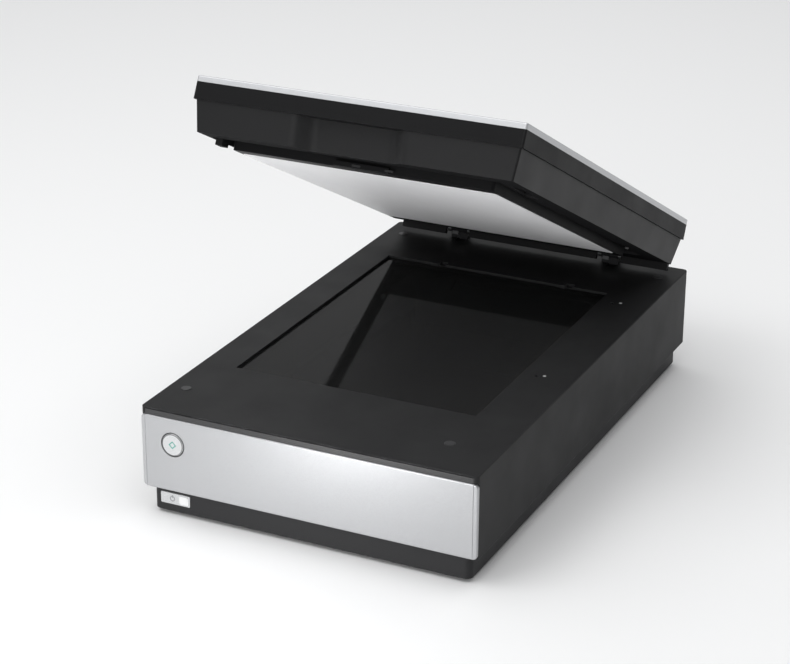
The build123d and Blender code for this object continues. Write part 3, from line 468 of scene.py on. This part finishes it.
def belt_shape(x, front, back, height):
    """A toothed belt round two pulleys: a smooth back and a tooth every two millimetres inside."""
    shape = bmesh.new()
    run = back - front
    inside, outside, root = BELT_INSIDE, BELT_INSIDE + BELT_THICK, BELT_INSIDE + BELT_TOOTH
    length = 2 * run + 2 * pi * inside
    steps = POINTS_PER_TOOTH * int(length / BELT_PITCH)

    def along(distance, radius):
        arc = pi * inside
        if distance < run:
            return (x + radius, front + distance)
        distance -= run
        if distance < arc:
            return (x + radius * cos(distance / inside), back + radius * sin(distance / inside))
        distance -= arc
        if distance < run:
            return (x - radius, back - distance)
        turn = (distance - run) / inside
        return (x - radius * cos(turn), front - radius * sin(turn))

    outer = [along(length * i / steps, outside) for i in range(steps)]
    inner = [along(length * i / steps, inside if i % POINTS_PER_TOOTH < POINTS_PER_TOOTH / 2 else root)
             for i in range(steps)]
    frame_prism(shape, outer, inner, height[0], height[1])
    return shape


def add_belts():
    """Toothed belts take the places of the plain loops."""
    belt = piece("scan_belt_toothed", belt_shape(*SCAN_BELT), "rubber", "base")
    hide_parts("timing_belt")
    belt = piece("lid_belt_toothed", belt_shape(*LID_BELT), "rubber", "lid", lid_frame)
    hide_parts("lid_belt")


def add_front_marks():
    """Diamond, rim and gap ring of the start button, and symbol of the power button with a white patch
    on its right part, a painted highlight.
    """
    x, z = START_PLACE
    shape = bmesh.new()
    outer = [(x - 3.6, z), (x, z - 3.6), (x + 3.6, z), (x, z + 3.6)]
    inner = [(x - 2.3, z), (x, z - 2.3), (x + 2.3, z), (x, z + 2.3)]
    frame_prism(shape, outer, inner, -0.75, -0.4, axis=1)
    piece("start_symbol", shape, "symbol_green", "start_button", rounding=0.12)
    shape = bmesh.new()
    frame_prism(shape, ring((x, z), 11.15, 64), ring((x, z), 10.4, 64), 0.5, 2.6, axis=1)
    piece("start_ring", shape, "mat_black", "base")
    shape = bmesh.new()
    frame_prism(shape, ring((x, z), 9.9, 64), ring((x, z), 9.1, 64), -0.72, -0.3, axis=1)
    piece("start_rim", shape, "tab_grey", "start_button", rounding=0.15)
    shape = bmesh.new()
    frame_prism(shape, ring(POWER_PLACE, 2.5), ring(POWER_PLACE, 1.7), 3.8, 4.1, axis=1)
    prism(shape, rectangle((-128.9, -128.1), (16.4, 18.6)), 3.75, 4.1, axis=1)
    piece("power_symbol", shape, "mark_grey", "power_button", rounding=0.08)
    # A white patch on the power button's right part: painted highlight.
    shape = bmesh.new()
    prism(shape, rectangle((-121.8, -113.2), (11.6, 19.1), 0.8), 3.7, 4.2, axis=1)
    piece("power_highlight_patch", shape, "mark_white", "power_button", rounding=0.2)


def add_button_springs():
    """Wire coils behind the buttons."""
    turn_steps, wire_steps = 24, 10
    springs = (("start_spring", "start_press", 3.6, 0.35, 4, 0.75),
               ("power_spring", "power_press", 3.2, 0.3, 3, 0.68))
    for node, joint, radius, wire, turns, kept in springs:
        low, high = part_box(node)
        x = (low.x + high.x) / 2 / MM
        z = (low.z + high.z) / 2 / MM
        front = (low.y - CASE_FRONT) / MM + wire
        length = (high.y - low.y) / MM - 2 * wire
        shape = bmesh.new()
        steps = turn_steps * turns
        rings = []
        for i in range(steps + 1):
            angle = 2 * pi * i / turn_steps
            section = ring((radius, front + length * i / steps), wire, wire_steps)
            rings.append([shape.verts.new((x + r * cos(angle), y, z + r * sin(angle)))
                          for r, y in section])
        for near, far in zip(rings, rings[1:]):
            for k in range(wire_steps):
                j = (k + 1) % wire_steps
                shape.faces.new((near[k], near[j], far[j], far[k]))
        shape.faces.new(rings[0])
        shape.faces.new(rings[-1])
        coil = piece(node + "_coil", shape, "ground_steel", "base")
        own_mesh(coil)
        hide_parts(node)


def add_deck_marks():
    """Printed dots beside the holder's holes, and the curved mark by the glass's back corner."""
    shape = bmesh.new()
    for place in HOLDER_DOTS:
        prism(shape, ring(place, 1.5, 24), PRINT_LOW, PRINT_HIGH)
    piece("deck_dots", shape, "mark_white", "base")
    shape = bmesh.new()
    arc = ring((117.0, 426.0), 3.2, 14, radians(200), radians(220))
    inner_arc = ring((117.6, 426.3), 2.3, 14, radians(200), radians(220))
    for i in range(len(arc) - 1):
        prism(shape, [arc[i], arc[i + 1], inner_arc[i + 1], inner_arc[i]], PRINT_LOW, PRINT_HIGH)
    piece("deck_arrow", shape, "mat_black", "base")


def add_hinge_tabs():
    """A small grey latch tab on the left half of each hinge post's front."""
    shape = bmesh.new()
    for x in (-80.0, 80.0):
        box_of(shape, (x - 7.6, x - 0.8), (485.1, 486.4), (101.9, 105.6), 0.3)
    piece("hinge_tabs", shape, "tab_grey", "hinge_posts", rounding=0.25)


def add_lid_bumpers():
    """Small round bumpers that the shut lid rests on, in the flange beside the mat."""
    shape = bmesh.new()
    for x in (-130.5, 126.0):
        prism(shape, ring((x, 366.0), 1.8, 24), -1.6, 0.05)
    piece("lid_bumpers", shape, "tab_grey", "lid", lid_frame, rounding=0.5, segments=3)


def add_lid_corner_shade():
    """Dark strips of painted shade down the rounded corners of the lid's front, where its front and side
    mouldings meet.
    """
    shape = bmesh.new()
    for side in (-1, 1):
        for levels in CORNER_SHADE_LEVELS:
            rings = []
            for height, half, front in levels:
                centre = (side * (half - CORNER_SHADE_RADIUS), front + CORNER_SHADE_RADIUS)
                start = radians(-105) if side > 0 else radians(-75)
                outer = ring(centre, CORNER_SHADE_RADIUS + 0.05, 7, start, side * radians(75))
                inner = ring(centre, CORNER_SHADE_RADIUS - 0.25, 7, start, side * radians(75))
                rings.append([shape.verts.new((x, y, height)) for x, y in outer + inner[::-1]])
            bottom, top = rings
            shape.faces.new(bottom)
            shape.faces.new(top)
            for i in range(len(bottom)):
                j = (i + 1) % len(bottom)
                shape.faces.new((bottom[i], bottom[j], top[j], top[i]))
    piece("lid_corner_shade", shape, "mat_black", "lid", lid_frame)


def add_pull_tab_marks():
    """Two finger ribs on the mat's pull tab, in a lighter grey that is a painted highlight on the tab's
    front.
    """
    shape = bmesh.new()
    for x in (-13.0, 17.0):
        box_of(shape, (x, x + 7.5), (42.2, 42.7), (-4.2, -2.4), 0.1)
    piece("pull_tab_ribs_highlight", shape, "cap_grey", "mat", lid_frame, rounding=0.15)


def add_contacts():
    """Gilt contacts on the tongues of the three data sockets."""
    shape = bmesh.new()
    for i in range(4):
        x = 16 - 2.1 + 1.4 * i
        box_of(shape, (x - 0.4, x + 0.4), (488.0, 493.0), (14.7, 18.1), 0.05)
    for i in range(6):
        x = 46.5 - 3.5 + 1.4 * i
        box_of(shape, (x - 0.35, x + 0.35), (488.6, 493.1), (13.5, 15.7), 0.05)
    for i in range(13):
        x = 118 - 7.2 + 1.2 * i
        box_of(shape, (x - 0.3, x + 0.3), (494.0, 497.3), (36.9, 39.1), 0.05)
    piece("socket_contacts", shape, "gold", "base", rounding=0.05)


def add_board_parts():
    """Legs round the main board's chips, and sleeves with a scored top on its capacitors."""
    shape = bmesh.new()
    for x, y, half in ((20, 420, 14), (70, 430, 10), (-10, 440, 7)):
        count = int(half * 1.6)
        for i in range(count):
            offset = (i - (count - 1) / 2) * 1.15
            for side in (-1, 1):
                near, far = sorted((side * (half - 0.2), side * (half + 1.4)))
                box_of(shape, (x + near, x + far), (y + offset - 0.2, y + offset + 0.2), LEG_HEIGHT)
                box_of(shape, (x + offset - 0.2, x + offset + 0.2), (y + near, y + far), LEG_HEIGHT)
    piece("chip_legs", shape, "alloy", "base")
    shape = bmesh.new()
    for place in ((50, 460), (64, 460), (84, 465)):
        frame_prism(shape, ring(place, 4.12, 32), ring(place, 3.0, 32), 12.2, 20.75)
    piece("capacitor_sleeves", shape, "lens", "base", rounding=0.2)
    shape = bmesh.new()
    for x, y, half, top in ((20, 420, 13.6, 13.0), (70, 430, 9.6, 12.8), (-10, 440, 6.6, 12.4)):
        prism(shape, rectangle((x - half, x + half), (y - half, y + half), 0.5), top - 0.2, top + 0.25)
    piece("chip_bodies", shape, "lens", "base", rounding=0.15)


# ==== Camera, light and floor ====

def place_camera():
    """The camera looks down at the scanner from the front and right."""
    azimuth = radians(25.5)
    elevation = radians(22.73)
    roll = radians(0.316)
    distance = 1.9
    target = Vector((0.0323, -0.1542, 0.1612))
    back = Vector((sin(azimuth) * cos(elevation), -cos(azimuth) * cos(elevation), sin(elevation)))
    right = Vector((cos(azimuth), sin(azimuth), 0))
    up = back.cross(right)
    tilted_right = right * cos(roll) + up * sin(roll)
    tilted_up = up * cos(roll) - right * sin(roll)
    data = bpy.data.cameras.new("camera")
    data.lens = 104.36
    data.sensor_width = 36
    camera = bpy.data.objects.new("camera", data)
    turn = Matrix((tilted_right, tilted_up, back)).transposed()
    camera.matrix_world = Matrix.Translation(target + back * distance) @ turn.to_4x4()
    bpy.context.scene.collection.objects.link(camera)
    bpy.context.scene.camera = camera


def softbox(name, place, target, size, power):
    """A rectangular area light aimed at a point."""
    data = bpy.data.lights.new(name, "AREA")
    data.shape = "RECTANGLE"
    data.size, data.size_y = size
    data.energy = power
    light = bpy.data.objects.new(name, data)
    light.location = place
    light.visible_camera = False
    light.rotation_euler = (Vector(target) - Vector(place)).to_track_quat("-Z", "Y").to_euler()
    bpy.context.scene.collection.objects.link(light)


def light_studio():
    """A pale room with soft lights above, in front and behind, and a small one close to the panel."""
    world = bpy.data.worlds.new("room")
    world.use_nodes = True
    background = world.node_tree.nodes["Background"]
    background.inputs["Strength"].default_value = 0.6
    # The room is darker on the right, so that the sides there fall off.
    nodes, links = world.node_tree.nodes, world.node_tree.links
    direction = nodes.new("ShaderNodeTexCoord")
    split = nodes.new("ShaderNodeSeparateXYZ")
    ramp = nodes.new("ShaderNodeValToRGB")
    ramp.color_ramp.elements[0].color = (0.98, 0.99, 1.0, 1)
    ramp.color_ramp.elements[1].color = (0.5, 0.5, 0.51, 1)
    links.new(direction.outputs["Generated"], split.inputs[0])
    links.new(split.outputs["X"], ramp.inputs[0])
    links.new(ramp.outputs[0], background.inputs["Color"])
    bpy.context.scene.world = world
    softbox("overhead", (0, 0, 2.6), (0, 0, 0), (3.0, 3.0), 34)
    softbox("key", (-0.9, -1.2, 1.9), (0, -0.1, 0.1), (1.4, 1.0), 12)
    softbox("back", (-1.1, 2.1, 1.15), (0, 0, 0.12), (1.6, 0.8), 0.9)
    softbox("front", (-0.1, -1.5, 0.2), (0, 0, 0.2), (0.6, 0.4), 6.0)
    softbox("panel_glow", (-0.06, -0.52, 0.02), (0.02, -0.26, 0.05), (0.12, 0.12), 0.5)


def lay_floor():
    """A plain pale floor, wide enough to fill the view."""
    half = 9.0
    mesh = bpy.data.meshes.new("floor")
    corners = [(-half, -half, 0), (half, -half, 0), (half, half, 0), (-half, half, 0)]
    mesh.from_pydata(corners, [], [(0, 1, 2, 3)])
    floor = bpy.data.objects.new("floor", mesh)
    surface = Surface("floor_paper", (0.9, 0.9, 0.9), 0.75, specular=0.2)
    surface.tint(surface.noise(0.4, 3), (0.98, 0.98, 0.98), 0.3, "MULTIPLY")
    mesh.materials.append(surface.done())
    bpy.context.scene.collection.objects.link(floor)


place_camera()
light_studio()
lay_floor()
dress_nodes()
add_belts()
add_front_marks()
add_button_springs()
add_deck_marks()
add_hinge_tabs()
add_lid_bumpers()
add_lid_corner_shade()
add_pull_tab_marks()
add_contacts()
add_board_parts()
bpy.context.scene.view_settings.view_transform = "Standard"
